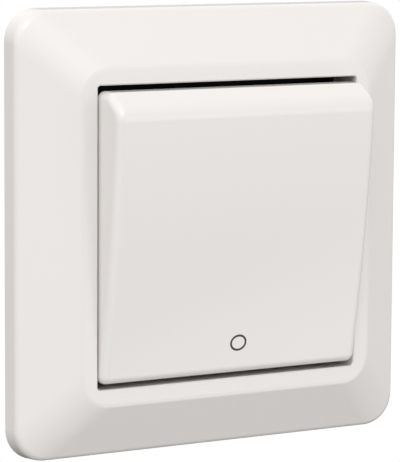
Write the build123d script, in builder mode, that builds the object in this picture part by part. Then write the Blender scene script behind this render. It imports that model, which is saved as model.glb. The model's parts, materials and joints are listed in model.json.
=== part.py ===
"""One gang flush wall pushbutton: frame, wide convex button, steel mounting plate and the switch mechanism.

The wall is the plane y = 0, the room lies on the -Y side and +Z points up. The origin is the centre of the
fixing plane. Every "rise" is a height above the wall, towards the room, and every "depth" is one behind it.
"""

import math
import os

from build123d import *

os.makedirs("parts", exist_ok=True)

# Frame, outside
frame_size = 85.0
frame_rise = 10.7
rim_rise = 4.05
rim_draft = 0.25
opening_size = 57.0
land_width = 3.2
frame_corner_r = 6.2
hip_r = 12.0
rim_edge_r = 1.8
land_edge_r = 1.5
opening_corner_r = 0.6
opening_edge = 0.25

# Frame, inside
frame_wall = 2.0
collar_wall = 1.5
collar_rear_rise = 2.4
rib_thickness = 1.2
rib_offset = 9.0
rib_rear_rise = 2.2
rim_foot_rise = 0.5
notch_width = 9.0
notch_height = 1.2

# Button
cap_width = 56.5
cap_height = 54.9
cap_rear_rise = 6.5
bevel_start_rise = 13.9
ridge_inset = 3.13
ridge_rise = 18.37
foot_rise = 11.58
face_radius = 435.0
ridge_r = 3.6
foot_r = 1.8
bevel_start_r = 0.8
cap_edge_r = 1.6
cap_wall = 1.8
cap_rib_height = 1.6
cap_rib_thickness = 1.0
cap_rib_x = 20.5

# Cradle, in its own tilted plane through the pivot
pivot_rise = 6.5
rest_tilt = 7.0
cradle_width = 33.6
cradle_length = 40.0
tray_thickness = 2.0
tray_rear = 3.2
tray_corner_r = 2.0
tray_window_width = 16.0
tray_window_length = 14.0
trunnion_r = 1.5
trunnion_length = 2.4
cheek_thickness = 2.2
cheek_r = 2.6
cheek_half_length = 5.0
nose_width = 5.0
nose_r = 1.5

# Clips between button and cradle
clip_x = 10.0
clip_y = 15.0
clip_width = 4.0
clip_thickness = 1.6
barb_depth = 0.6
barb_height = 1.35
clip_clearance = 0.15
clip_flex_room = 0.8
seat_clearance = 0.05
seat_size = 3.0
seat_y = 10.0
post_front = 8.2

# Mounting plate
plate_size = 71.0
plate_corner_r = 4.0
plate_thickness = 1.0
screw_spacing = 60.0
screw_slot_width = 4.2
screw_slot_length = 8.0
tab_z = 18.0
tab_width = 10.0
tab_rise = 5.6
tab_outer_x = 33.0
tab_bend_r = 1.3
tab_relief = 1.0
tab_window_width = 7.0
tab_window_low = 2.5
tab_window_high = 4.3

# Frame tongues that snap into the tabs
tongue_clearance = 0.15
tongue_thickness = 1.2
tongue_width = 6.0
tongue_rear_rise = 1.7
tongue_root_rise = 8.0
tooth_depth = 0.75
tooth_clearance = 0.1

# Mechanism base
base_size = 42.0
base_depth = 22.0
base_wall = 1.6
base_floor = 2.0
base_chamfer = 3.0
spigot_size = 38.0
spigot_wall = 1.5
spigot_corner_r = 1.5
spigot_clearance = 0.2
base_lip_depth = 2.0
divider_z = 3.5
divider_thickness = 1.2
divider_front_depth = 4.0
chamber_gap = 1.0

# Mechanism cover
cover_size = 44.0
cover_corner_r = 3.0
cover_thickness = 2.0
ear_thickness = 2.5
ear_clearance = 0.2
ear_r = 4.0
bearing_clearance = 0.05
stop_width = 4.0
stop_thickness = 2.0
stop_z = 18.5
stop_x = 4.5
stop_clearance = 0.1

# Cover screws
cover_screw_pitch = 31.0
cover_screw_r = 1.1
cover_screw_length = 8.0
screw_head_r = 2.0
screw_head_height = 1.2
screw_slot_width_fine = 0.5
screw_slot_depth_fine = 0.6
screw_hole_clearance = 0.15
thread_clearance = 0.02
boss_half = 2.4
boss_depth = 9.0

# Plunger
plunger_offset = 0.25
plunger_width = 6.0
plunger_length = 7.0
plunger_head_rise = 2.2
plunger_head_r = 0.5
plunger_tail_depth = 15.2
plunger_clearance = 0.15
nose_clearance = 0.03
tail_pin_r = 1.5
tail_pin_length = 2.0
guide_wall = 1.2
guide_front_depth = 13.0

# Contacts
bridge_length = 18.0
bridge_width = 4.0
bridge_thickness = 0.8
bridge_rear_depth = 8.8
contact_x = 7.0
contact_r = 1.5
contact_height = 0.8
plunger_travel = 1.5
contact_clearance = 0.05
window_front_depth = 5.0

# Terminals
bar_thickness = 0.8
bar_width = 5.0
bar_wire_gap = 0.55
bar_side_clearance = 1.15
bar_end_clearance = 0.6
bar_inner_x = 4.8
bar_bend_r = 1.0
wire_hole_r = 1.75
wire_hole_spacing = 8.4

# Clamp springs
leaf_thickness = 0.4
leaf_side_clearance = 1.0
leaf_bend_r = 1.2
leaf_clearance = 0.5
leaf_wire_offset = 3.6
leaf_corner_depth = 11.2
leaf_foot_clearance = 0.7
leaf_tip_clearance = 1.3
leaf_tip_gap = 0.4
leaf_slot_width = 3.8
leaf_slot_inset = 1.7

# Release levers
lever_width = 3.2
lever_thickness = 3.6
lever_wire_offset = 0.3
lever_out = 1.2
lever_clearance = 0.15
lever_flange = 0.7
lever_flange_height = 1.0
lever_nose_height = 1.6
lever_nose_thickness = 2.0
lever_edge_r = 0.4

# Coil springs
return_coil_r = 2.2
return_wire_r = 0.25
return_turns = 5
contact_coil_r = 1.5
contact_wire_r = 0.18
contact_turns = 4
spring_clearance = 0.02
coil_steps = 12
wire_sides = 6

# Worked out from the values above
corner_share = 2 - math.sqrt(2)
half_frame = frame_size / 2
half_opening = opening_size / 2
land_half = half_opening + land_width
slope_base_half = half_frame - rim_draft
slope_run = slope_base_half - land_half
slope_climb = frame_rise - rim_rise
slope_length = math.hypot(slope_run, slope_climb)
collar_outer = half_opening + collar_wall
half_cap = cap_height / 2
cradle_half_width = cradle_width / 2
tray_front = tray_rear + tray_thickness
ear_inner_x = cradle_half_width + ear_clearance
cover_front_rise = plate_thickness + cover_thickness
spigot_inner = spigot_size - 2 * spigot_wall
base_floor_depth = base_depth - base_floor
base_inner = base_size - 2 * base_wall
base_inner_chamfer = base_chamfer - corner_share * base_wall
chamber_middle_z = (divider_z + base_inner / 2) / 2
chamber_length = base_inner / 2 - divider_z - divider_thickness / 2
plunger_z = base_inner / 2 - chamber_length / 2 + plunger_offset
nose_reach = plunger_z
bar_leg_width = chamber_length - 2 * bar_side_clearance
leaf_width = bar_leg_width - 2 * leaf_side_clearance
fixed_tip_depth = bridge_rear_depth + contact_height + plunger_travel + contact_clearance
bar_front_depth = fixed_tip_depth + contact_height
bar_rear_depth = bar_front_depth + bar_thickness
leaf_back_x = base_inner / 2 - leaf_clearance - leaf_thickness / 2
leaf_slot_x = leaf_back_x - leaf_slot_inset
wire_hole_x = leaf_back_x - leaf_wire_offset
lever_x = wire_hole_x + lever_wire_offset
bar_leg_x = wire_hole_x - wire_hole_r - bar_wire_gap
leaf_tip_x = bar_leg_x + leaf_tip_gap + leaf_thickness / 2
chamber_x = bar_leg_x - bar_thickness - chamber_gap - divider_thickness / 2
bar_leg_end_depth = base_floor_depth - bar_end_clearance
leaf_foot_depth = base_floor_depth - leaf_foot_clearance
leaf_tip_depth = base_floor_depth - leaf_tip_clearance
tongue_inner_x = tab_outer_x + tongue_clearance
tongue_outer_x = tongue_inner_x + tongue_thickness
tilt_sin = math.sin(math.radians(rest_tilt))
tilt_cos = math.cos(math.radians(rest_tilt))


def at(rise):
    """Plane parallel to the wall and facing the room, at a height above the wall."""
    return Plane.XZ.offset(rise)


def across(x):
    """Upright plane facing +X. Its sketch axes are the height Z and the rise."""
    return Plane(origin=(x, 0, 0), x_dir=(0, 0, 1), z_dir=(1, 0, 0))


def level(z):
    """Level plane facing down. Its sketch axes are X and the rise."""
    return Plane(origin=(0, 0, z), x_dir=(1, 0, 0), z_dir=(0, 0, -1))


def cradle_front(height):
    """Plane of the resting cradle at a height in front of its pivot."""
    pivot_plane = Plane(origin=(0, -pivot_rise, 0), x_dir=(1, 0, 0), z_dir=(0, -tilt_cos, -tilt_sin))
    return pivot_plane.offset(height)


def cradle_side(x):
    """Plane facing +X. Its sketch axes are the resting cradle's length and its height in front of the pivot."""
    return Plane(origin=(x, -pivot_rise, 0), x_dir=(0, -tilt_sin, tilt_cos), z_dir=(1, 0, 0))


def slope_inner_half(rise):
    """Half width of the frame's cavity at a rise, one wall in from the outer slope."""
    drop = rise - rim_rise + frame_wall * slope_length / slope_run
    return slope_base_half - drop * slope_run / slope_climb


def cradle_rise(along, height):
    """Rise of a point of the resting cradle, given in the cradle's own length and height."""
    return pivot_rise + height * tilt_cos + along * tilt_sin


def cap_rear(along):
    """Rise of the resting button's rear edge at a height, tilted with the button."""
    return cap_rear_rise + along * tilt_sin / tilt_cos


def four_ways(piece):
    """A piece and its images in the two upright planes of symmetry."""
    left = mirror(piece, about=Plane.YZ, mode=Mode.PRIVATE)
    lower = mirror(piece, about=Plane.XY, mode=Mode.PRIVATE)
    lower_left = mirror(left, about=Plane.XY, mode=Mode.PRIVATE)
    return [piece, left, lower, lower_left]


# Frame: a drafted block with round corners, met by four slopes whose hips are rounded
cavity_half = half_frame - frame_wall
cavity_top_rise = frame_rise - frame_wall
cavity_top_half = slope_inner_half(cavity_top_rise)
cavity_chamfer = corner_share * (frame_corner_r - frame_wall)
cavity_knee_rise = cavity_top_rise - (cavity_half - cavity_top_half) * slope_climb / slope_run
slope_foot_half = slope_base_half + rim_rise * slope_run / slope_climb
rim_front_half = half_frame - rim_draft * frame_rise / rim_rise


def square_block(rear_half, front_half, front_rise):
    """Block on the wall plane with a square rear, a square front and four flat sides between them."""
    with BuildPart() as block:
        for side_plane, side_mode in ((level(0), Mode.ADD), (across(0), Mode.INTERSECT)):
            with BuildSketch(side_plane):
                with BuildLine():
                    Polyline(
                        (-rear_half, 0),
                        (rear_half, 0),
                        (front_half, front_rise),
                        (-front_half, front_rise),
                        close=True,
                    )
                make_face()
            extrude(amount=rear_half, both=True, mode=side_mode)
    return block.part


with BuildPart() as frame_slopes:
    add(square_block(slope_foot_half, land_half, frame_rise))
    hips = frame_slopes.edges().filter_by(lambda edge: -frame_rise + 1 < edge.center().Y < -1)
    fillet(hips, hip_r)

with BuildPart() as frame_cavity:
    with BuildSketch(at(0)) as cavity_outline:
        Rectangle(2 * cavity_half, 2 * cavity_half)
        chamfer(cavity_outline.vertices(), cavity_chamfer)
    extrude(amount=cavity_top_rise)
    add(square_block(slope_inner_half(0), cavity_top_half, cavity_top_rise), mode=Mode.INTERSECT)

with BuildPart() as cover_frame:
    add(square_block(half_frame, rim_front_half, frame_rise))
    rim_corners = cover_frame.edges().filter_by(lambda edge: -frame_rise + 1 < edge.center().Y < -1)
    fillet(rim_corners, frame_corner_r)
    add(frame_slopes.part, mode=Mode.INTERSECT)
    fillet(cover_frame.faces().sort_by(Axis.Y)[0].edges(), land_edge_r)
    rim_edges = cover_frame.edges().filter_by(lambda edge: 0.65 * rim_rise < -edge.center().Y < 1.5 * rim_rise)
    fillet(rim_edges, rim_edge_r)
    add(frame_cavity.part, mode=Mode.SUBTRACT)
    with BuildSketch(at(collar_rear_rise)):
        Rectangle(2 * collar_outer, 2 * collar_outer)
    extrude(amount=cavity_top_rise - collar_rear_rise + frame_wall / 2)
    for rib_z in (-rib_offset, rib_offset):
        with BuildSketch(level(rib_z)):
            with BuildLine():
                Polyline(
                    (collar_outer - collar_wall / 2, collar_rear_rise),
                    (tongue_outer_x + frame_wall, rib_rear_rise),
                    (cavity_half - frame_wall, rim_foot_rise),
                    (cavity_half + frame_wall / 2, rim_foot_rise),
                    (cavity_half + frame_wall / 2, cavity_knee_rise),
                    (cavity_top_half + frame_wall / 2, cavity_top_rise),
                    (collar_outer - collar_wall / 2, cavity_top_rise),
                    close=True,
                )
            make_face()
        rib = extrude(amount=rib_thickness / 2, both=True, mode=Mode.PRIVATE)
        for turn in (0, 90, 180, 270):
            add(rib, rotation=(0, turn, 0))
    with BuildSketch(level(tab_z)):
        with BuildLine():
            Polyline(
                (tongue_inner_x, tongue_rear_rise + tooth_depth),
                (tongue_inner_x + tooth_depth, tongue_rear_rise),
                (tongue_outer_x, tongue_rear_rise),
                (tongue_outer_x, tongue_root_rise),
                (tongue_inner_x, tongue_root_rise),
                (tongue_inner_x, tab_window_high - tooth_clearance),
                (tongue_inner_x - tooth_depth, tab_window_high - tooth_clearance),
                (tongue_inner_x - tooth_depth, tab_window_high - tooth_clearance - tooth_depth / 2),
                close=True,
            )
        make_face()
    tongue = extrude(amount=tongue_width / 2, both=True, mode=Mode.PRIVATE)
    add(four_ways(tongue))
    with BuildSketch(at(0)):
        RectangleRounded(opening_size, opening_size, opening_corner_r)
    extrude(amount=frame_rise, mode=Mode.SUBTRACT)
    chamfer(cover_frame.faces().sort_by(Axis.Y)[0].inner_wires()[0].edges(), opening_edge)
    with BuildSketch(at(0)):
        with Locations((0, -half_frame)):
            Rectangle(notch_width, 3 * frame_wall)
    extrude(amount=notch_height, mode=Mode.SUBTRACT)
cover_frame.part.label = "cover_frame"
export_step(cover_frame.part, "parts/cover_frame.step")

# Button: its side outline carries the convex face, the bevel and the rounds, and its cavity follows them
ridge_z = half_cap - ridge_inset


def cap_outline(x, inset=0.0):
    """Side outline of the button at x, drawn in by an inset and then open through its rear edge."""
    with BuildSketch(across(x)) as outline:
        with BuildLine():
            Polyline((-half_cap, foot_rise), (-half_cap, cap_rear(-half_cap)), (half_cap, cap_rear(half_cap)))
            Polyline((half_cap, cap_rear(half_cap)), (half_cap, bevel_start_rise), (ridge_z, ridge_rise))
            RadiusArc((ridge_z, ridge_rise), (-half_cap, foot_rise), -face_radius)
        make_face()
        fillet(outline.vertices().sort_by(Axis.Y)[-1], ridge_r)
        fillet(outline.vertices().filter_by_position(Axis.Y, bevel_start_rise, bevel_start_rise), bevel_start_r)
        fillet(outline.vertices().sort_by(Axis.X)[:2].sort_by(Axis.Y)[-1], foot_r)
        if inset:
            offset(amount=-inset, kind=Kind.INTERSECTION)
            open_half = half_cap - inset
            with BuildLine():
                Polyline(
                    (-open_half, 0),
                    (open_half, 0),
                    (open_half, cap_rear(half_cap) + 1.5 * inset),
                    (-open_half, cap_rear(-half_cap) + 1.5 * inset),
                    close=True,
                )
            make_face()
    return outline.sketch


with BuildPart() as rib_rear:
    with BuildSketch(across(-cap_width)):
        with BuildLine():
            Polyline(
                (-cap_height, -cap_height),
                (cap_height, -cap_height),
                (cap_height, cap_rear(cap_height) + cap_rib_height),
                (-cap_height, cap_rear(-cap_height) + cap_rib_height),
                close=True,
            )
        make_face()
    extrude(amount=2 * cap_width)

with BuildPart() as button_cap:
    extrude(cap_outline(-cap_width / 2), amount=cap_width)
    side_edges = button_cap.faces().filter_by(Axis.X).edges()
    fillet(side_edges.filter_by(lambda edge: abs(edge.center().Z) > 1 or edge.center().Y < -foot_rise), cap_edge_r)
    inner_width = cap_width - 2 * cap_wall
    extrude(cap_outline(-inner_width / 2, cap_wall), amount=inner_width, mode=Mode.SUBTRACT)
    for rib_x in (-cap_rib_x, cap_rib_x):
        rib_outline = cap_outline(rib_x - cap_rib_thickness / 2, cap_wall / 2)
        rib = extrude(rib_outline, amount=cap_rib_thickness, mode=Mode.PRIVATE)
        hollow_outline = cap_outline(rib_x - cap_rib_thickness, cap_wall + cap_rib_height)
        hollow = extrude(hollow_outline, amount=2 * cap_rib_thickness, mode=Mode.PRIVATE)
        add(rib - hollow - rib_rear.part)
    with BuildSketch(cradle_front(tray_rear - seat_clearance - barb_height)):
        with GridLocations(2 * clip_x, 2 * clip_y, 2, 2):
            Rectangle(clip_width, clip_thickness)
    extrude(amount=post_front - tray_rear + seat_clearance + barb_height)
    with BuildSketch(cradle_side(clip_x)):
        for side in (1, -1):
            with BuildLine():
                barb_root = side * (clip_y + clip_thickness / 4)
                barb_tip = side * (clip_y + clip_thickness / 2 + barb_depth)
                barb_front = tray_rear - seat_clearance
                Polyline(
                    (barb_root, barb_front - barb_height),
                    (side * (clip_y + clip_thickness / 2), barb_front - barb_height),
                    (barb_tip, barb_front - barb_height / 3),
                    (barb_tip, barb_front),
                    (barb_root, barb_front),
                    close=True,
                )
            make_face()
    barbs = extrude(amount=clip_width / 2, both=True, mode=Mode.PRIVATE)
    add([barbs, mirror(barbs, about=Plane.YZ, mode=Mode.PRIVATE)])
    with BuildSketch(cradle_front(tray_front + seat_clearance)):
        with GridLocations(2 * clip_x, 2 * seat_y, 2, 2):
            Rectangle(seat_size, seat_size)
    extrude(amount=post_front - tray_front - seat_clearance)
button_cap.part.label = "button_cap"
export_step(button_cap.part, "parts/button_cap.step")

# Cradle: a tray with two cheeks that carry the trunnions, and the nose that pushes the plunger
# Turned back to level, the nose tip lies as far behind the pivot as the resting plunger head allows
nose_centre_rise = plunger_head_rise + nose_clearance + nose_r
nose_height = (nose_centre_rise - pivot_rise - nose_reach * tilt_sin) / tilt_cos
clip_slot_y = clip_y + clip_thickness / 2 + clip_clearance - (clip_thickness + clip_flex_room) / 2

with BuildPart() as cradle:
    with BuildSketch(cradle_front(tray_rear)):
        RectangleRounded(cradle_width, cradle_length, tray_corner_r)
        RectangleRounded(tray_window_width, tray_window_length, tray_corner_r, mode=Mode.SUBTRACT)
        with GridLocations(2 * clip_x, 2 * clip_slot_y, 2, 2):
            Rectangle(clip_width + 2 * clip_clearance, clip_thickness + clip_flex_room, mode=Mode.SUBTRACT)
    extrude(amount=tray_thickness)
    for cheek_x in (cradle_half_width - cheek_thickness, -cradle_half_width):
        with BuildSketch(cradle_side(cheek_x)):
            Circle(cheek_r)
            with Locations((0, tray_rear + tray_thickness / 2)):
                Rectangle(2 * cheek_half_length, tray_thickness)
            make_hull()
        extrude(amount=cheek_thickness)
    with BuildSketch(cradle_side(-cradle_half_width - trunnion_length)):
        Circle(trunnion_r)
    extrude(amount=trunnion_length + cheek_thickness / 2)
    with BuildSketch(cradle_side(cradle_half_width - cheek_thickness / 2)):
        Circle(trunnion_r)
    extrude(amount=trunnion_length + cheek_thickness / 2)
    with BuildSketch(cradle_side(-nose_width / 2)):
        with Locations((nose_reach, nose_height)):
            Circle(nose_r)
        with Locations((nose_reach, (nose_height + tray_rear + tray_thickness / 2) / 2)):
            Rectangle(2 * nose_r, tray_rear + tray_thickness / 2 - nose_height)
    extrude(amount=nose_width)
cradle.part.label = "cradle"
export_step(cradle.part, "parts/cradle.step")

# Mounting plate: pressed steel with a square aperture, two screw slots and four bent-up tabs with windows
with BuildPart() as mounting_plate:
    with BuildSketch(at(0)):
        RectangleRounded(plate_size, plate_size, plate_corner_r)
        aperture = spigot_size + 2 * spigot_clearance
        RectangleRounded(aperture, aperture, spigot_corner_r, mode=Mode.SUBTRACT)
        with Locations((-screw_spacing / 2, 0), (screw_spacing / 2, 0)):
            SlotOverall(screw_slot_length, screw_slot_width, mode=Mode.SUBTRACT)
        notch_depth = plate_size / 2 - tab_outer_x + tab_bend_r
        with GridLocations(plate_size - notch_depth, 2 * tab_z, 2, 2):
            Rectangle(notch_depth, tab_width + 2 * tab_relief, mode=Mode.SUBTRACT)
    extrude(amount=plate_thickness)
    with BuildSketch(level(tab_z)) as tab_side:
        with BuildLine():
            Polyline(
                (tab_outer_x - 2 * tab_bend_r, 0),
                (tab_outer_x, 0),
                (tab_outer_x, tab_rise),
                (tab_outer_x - plate_thickness, tab_rise),
                (tab_outer_x - plate_thickness, plate_thickness),
                (tab_outer_x - 2 * tab_bend_r, plate_thickness),
                close=True,
            )
        make_face()
        bend = tab_side.vertices().filter_by_position(Axis.X, tab_outer_x, tab_outer_x).sort_by(Axis.Y)[0]
        fillet(bend, tab_bend_r)
    tab = extrude(amount=tab_width / 2, both=True, mode=Mode.PRIVATE)
    add(four_ways(tab))
    with BuildSketch(across(-plate_size / 2)):
        with Locations((-tab_z, 0), (tab_z, 0)):
            with Locations((0, (tab_window_low + tab_window_high) / 2)):
                Rectangle(tab_window_width, tab_window_high - tab_window_low)
    extrude(amount=plate_size, mode=Mode.SUBTRACT)
mounting_plate.part.label = "mounting_plate"
export_step(mounting_plate.part, "parts/mounting_plate.step")

# Mechanism base: a moulded box behind the plate, with a spigot through it and the chambers of the mechanism

with BuildPart() as mechanism_base:
    with BuildSketch(at(-base_depth)) as base_outline:
        Rectangle(base_size, base_size)
        chamfer(base_outline.vertices(), base_chamfer)
    extrude(amount=base_depth)
    with BuildSketch(at(-base_floor_depth)) as base_hollow:
        Rectangle(base_inner, base_inner)
        chamfer(base_hollow.vertices(), base_inner_chamfer)
    extrude(amount=base_floor_depth - base_lip_depth, mode=Mode.SUBTRACT)
    with BuildSketch(at(0)):
        RectangleRounded(spigot_size, spigot_size, spigot_corner_r)
    extrude(amount=plate_thickness)
    with BuildSketch(at(plate_thickness)):
        Rectangle(spigot_inner, spigot_inner)
    extrude(amount=-plate_thickness - base_lip_depth, mode=Mode.SUBTRACT)
    with BuildSketch(at(-base_floor_depth)):
        with Locations((0, divider_z)):
            Rectangle(base_inner, divider_thickness)
    extrude(amount=base_floor_depth - divider_front_depth)
    with BuildSketch(at(-base_floor_depth)):
        with Locations((-chamber_x, chamber_middle_z), (chamber_x, chamber_middle_z)):
            Rectangle(divider_thickness, base_inner / 2 - divider_z)
    extrude(amount=base_floor_depth - bar_rear_depth)
    with BuildSketch(at(-base_floor_depth)):
        with Locations((0, plunger_z)):
            guide_width = plunger_width + 2 * plunger_clearance
            guide_length = plunger_length + 2 * plunger_clearance
            Rectangle(guide_width + 2 * guide_wall, guide_length + 2 * guide_wall)
            Rectangle(guide_width, guide_length, mode=Mode.SUBTRACT)
    extrude(amount=base_floor_depth - guide_front_depth)
    with BuildSketch(at(plate_thickness)):
        with GridLocations(cover_screw_pitch, cover_screw_pitch, 2, 2):
            Rectangle(2 * boss_half, 2 * boss_half)
    extrude(amount=-plate_thickness - boss_depth)
    with BuildSketch(at(plate_thickness)):
        with GridLocations(cover_screw_pitch, cover_screw_pitch, 2, 2):
            Circle(cover_screw_r + thread_clearance)
    extrude(amount=-plate_thickness - boss_depth, mode=Mode.SUBTRACT)
    with BuildSketch(at(-base_depth)):
        with Locations((-wire_hole_x, plunger_z), (wire_hole_x, plunger_z)):
            with GridLocations(0, wire_hole_spacing, 1, 2):
                Circle(wire_hole_r)
        with Locations((-lever_x, plunger_z), (lever_x, plunger_z)):
            Rectangle(lever_thickness + 2 * lever_clearance, lever_width + 2 * lever_clearance)
    extrude(amount=base_floor, mode=Mode.SUBTRACT)
mechanism_base.part.label = "mechanism_base"
export_step(mechanism_base.part, "parts/mechanism_base.step")

# Mechanism cover: screwed over the plate, with bearing ears for the cradle and a stop for each of its limits
rest_stop_rise = cradle_rise(-stop_z - stop_thickness / 2, tray_rear) - stop_clearance
press_stop_rise = pivot_rise + tray_rear - stop_clearance

with BuildPart() as mechanism_cover:
    with BuildSketch(at(plate_thickness)):
        RectangleRounded(cover_size, cover_size, cover_corner_r)
        with Locations((0, plunger_z)):
            Rectangle(guide_width, guide_length, mode=Mode.SUBTRACT)
    extrude(amount=cover_thickness)
    for ear_x in (ear_inner_x, -ear_inner_x - ear_thickness):
        with BuildSketch(across(ear_x)):
            with Locations((0, pivot_rise)):
                Circle(ear_r)
            with Locations((0, (pivot_rise + plate_thickness) / 2 + plate_thickness / 2)):
                Rectangle(2 * ear_r, pivot_rise - plate_thickness)
            with Locations((0, pivot_rise)):
                Circle(trunnion_r + bearing_clearance, mode=Mode.SUBTRACT)
        extrude(amount=ear_thickness)
    for stop_side, stop_rise in ((-stop_z, rest_stop_rise), (stop_z, press_stop_rise)):
        with BuildSketch(at(cover_front_rise)):
            with Locations((-stop_x, stop_side), (stop_x, stop_side)):
                Rectangle(stop_width, stop_thickness)
        extrude(amount=stop_rise - cover_front_rise)
    with BuildSketch(at(plate_thickness)):
        with GridLocations(cover_screw_pitch, cover_screw_pitch, 2, 2):
            Circle(cover_screw_r + screw_hole_clearance)
    extrude(amount=cover_thickness, mode=Mode.SUBTRACT)
mechanism_cover.part.label = "mechanism_cover"
export_step(mechanism_cover.part, "parts/mechanism_cover.step")

# Cover screws: cheese heads with a driving slot, threads left plain
with BuildPart() as cover_screws:
    with BuildSketch(at(cover_front_rise)):
        with GridLocations(cover_screw_pitch, cover_screw_pitch, 2, 2):
            Circle(screw_head_r)
    extrude(amount=screw_head_height)
    with BuildSketch(at(cover_front_rise + screw_head_height)):
        with GridLocations(cover_screw_pitch, cover_screw_pitch, 2, 2):
            Rectangle(2 * screw_head_r, screw_slot_width_fine, rotation=30)
    extrude(amount=-screw_slot_depth_fine, mode=Mode.SUBTRACT)
    with BuildSketch(at(cover_front_rise)):
        with GridLocations(cover_screw_pitch, cover_screw_pitch, 2, 2):
            Circle(cover_screw_r)
    extrude(amount=-cover_screw_length)
cover_screws.part.label = "cover_screws"
export_step(cover_screws.part, "parts/cover_screws.step")

# Plunger: slides in the cover's window and the base's guide, and carries the bridge in its own window
with BuildPart() as plunger:
    with BuildSketch(at(-plunger_tail_depth)):
        with Locations((0, plunger_z)):
            Rectangle(plunger_width, plunger_length)
    extrude(amount=plunger_tail_depth + plunger_head_rise)
    fillet(plunger.faces().sort_by(Axis.Y)[0].edges(), plunger_head_r)
    with BuildSketch(across(-plunger_width)):
        with Locations((plunger_z, -(window_front_depth + bridge_rear_depth) / 2)):
            bridge_window = bridge_width + 2 * plunger_clearance
            Rectangle(bridge_window, bridge_rear_depth - window_front_depth)
    extrude(amount=2 * plunger_width, mode=Mode.SUBTRACT)
    with BuildSketch(at(-plunger_tail_depth)):
        with Locations((0, plunger_z)):
            Circle(tail_pin_r)
    extrude(amount=-tail_pin_length)
plunger.part.label = "plunger"
export_step(plunger.part, "parts/plunger.step")

# Moving contacts: a copper bridge with a silver contact near each end
bridge_front_depth = bridge_rear_depth - bridge_thickness

with BuildPart() as contact_bridge:
    with BuildSketch(at(-bridge_rear_depth)):
        with Locations((0, plunger_z)):
            SlotOverall(bridge_length, bridge_width)
    extrude(amount=bridge_thickness)
contact_bridge.part.label = "contact_bridge"
export_step(contact_bridge.part, "parts/contact_bridge.step")

with BuildPart() as bridge_contacts:
    with BuildSketch(at(-bridge_rear_depth)):
        with Locations((-contact_x, plunger_z), (contact_x, plunger_z)):
            Circle(contact_r)
    extrude(amount=-contact_height)
bridge_contacts.part.label = "bridge_contacts"
export_step(bridge_contacts.part, "parts/bridge_contacts.step")

# Terminal bars: a brass strip whose arm carries the fixed contact and whose leg takes the wires
with BuildPart() as terminal_bar_right:
    with BuildSketch(level(plunger_z)) as bar_side:
        with BuildLine():
            Polyline(
                (bar_inner_x, -bar_front_depth),
                (bar_leg_x, -bar_front_depth),
                (bar_leg_x, -bar_leg_end_depth),
                (bar_leg_x - bar_thickness, -bar_leg_end_depth),
                (bar_leg_x - bar_thickness, -bar_rear_depth),
                (bar_inner_x, -bar_rear_depth),
                close=True,
            )
        make_face()
        outer_bend = bar_side.vertices().sort_by(Axis.Y)[-2:].sort_by(Axis.X)[-1]
        fillet(outer_bend, bar_bend_r)
    extrude(amount=bar_leg_width / 2, both=True)
    with BuildSketch(at(-bar_leg_end_depth)):
        with Locations((bar_inner_x, plunger_z)):
            arm_room = 2 * (bar_leg_x - bar_thickness - bar_bend_r - bar_inner_x)
            Rectangle(arm_room, 2 * bar_leg_width)
            Rectangle(2 * arm_room, bar_width, mode=Mode.SUBTRACT)
    extrude(amount=bar_leg_end_depth, mode=Mode.SUBTRACT)
terminal_bar_right.part.label = "terminal_bar_right"
export_step(terminal_bar_right.part, "parts/terminal_bar_right.step")

with BuildPart() as terminal_bar_left:
    add(terminal_bar_right.part.mirror(Plane.YZ))
terminal_bar_left.part.label = "terminal_bar_left"
export_step(terminal_bar_left.part, "parts/terminal_bar_left.step")

# Fixed contacts
with BuildPart() as fixed_contact_right:
    with BuildSketch(at(-bar_front_depth)):
        with Locations((contact_x, plunger_z)):
            Circle(contact_r)
    extrude(amount=contact_height)
fixed_contact_right.part.label = "fixed_contact_right"
export_step(fixed_contact_right.part, "parts/fixed_contact_right.step")

with BuildPart() as fixed_contact_left:
    add(fixed_contact_right.part.mirror(Plane.YZ))
fixed_contact_left.part.label = "fixed_contact_left"
export_step(fixed_contact_left.part, "parts/fixed_contact_left.step")

# Clamp springs: a folded steel leaf whose two tongues press the wires on the bar's leg
with BuildPart() as clamp_spring_right:
    with BuildSketch(level(plunger_z)):
        with BuildLine():
            leaf_line = FilletPolyline(
                (leaf_back_x, -leaf_foot_depth),
                (leaf_back_x, -leaf_corner_depth),
                (leaf_tip_x, -leaf_tip_depth),
                radius=leaf_bend_r,
            )
        trace(leaf_line, leaf_thickness)
    extrude(amount=leaf_width / 2, both=True)
    with BuildSketch(at(-base_depth)):
        with Locations((leaf_slot_x - base_size / 2, plunger_z)):
            Rectangle(base_size, leaf_slot_width)
    extrude(amount=base_depth, mode=Mode.SUBTRACT)
clamp_spring_right.part.label = "clamp_spring_right"
export_step(clamp_spring_right.part, "parts/clamp_spring_right.step")

with BuildPart() as clamp_spring_left:
    add(clamp_spring_right.part.mirror(Plane.YZ))
clamp_spring_left.part.label = "clamp_spring_left"
export_step(clamp_spring_left.part, "parts/clamp_spring_left.step")

# Release levers: sliders through the base's floor, held by a flange, that lift the leaf's tongues
with BuildPart() as release_lever_right:
    with BuildSketch(at(-base_depth - lever_out)):
        with Locations((lever_x, plunger_z)):
            Rectangle(lever_thickness, lever_width)
    extrude(amount=base_floor + lever_out)
    fillet(release_lever_right.faces().sort_by(Axis.Y)[-1].edges(), lever_edge_r)
    with BuildSketch(at(-base_floor_depth)):
        with Locations((lever_x, plunger_z)):
            Rectangle(lever_thickness + 2 * lever_flange, lever_width + 2 * lever_flange)
    extrude(amount=lever_flange_height)
    with BuildSketch(at(-base_floor_depth + lever_flange_height)):
        with Locations((lever_x, plunger_z)):
            Rectangle(lever_nose_thickness, lever_width)
    extrude(amount=lever_nose_height)
release_lever_right.part.label = "release_lever_right"
export_step(release_lever_right.part, "parts/release_lever_right.step")

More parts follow.
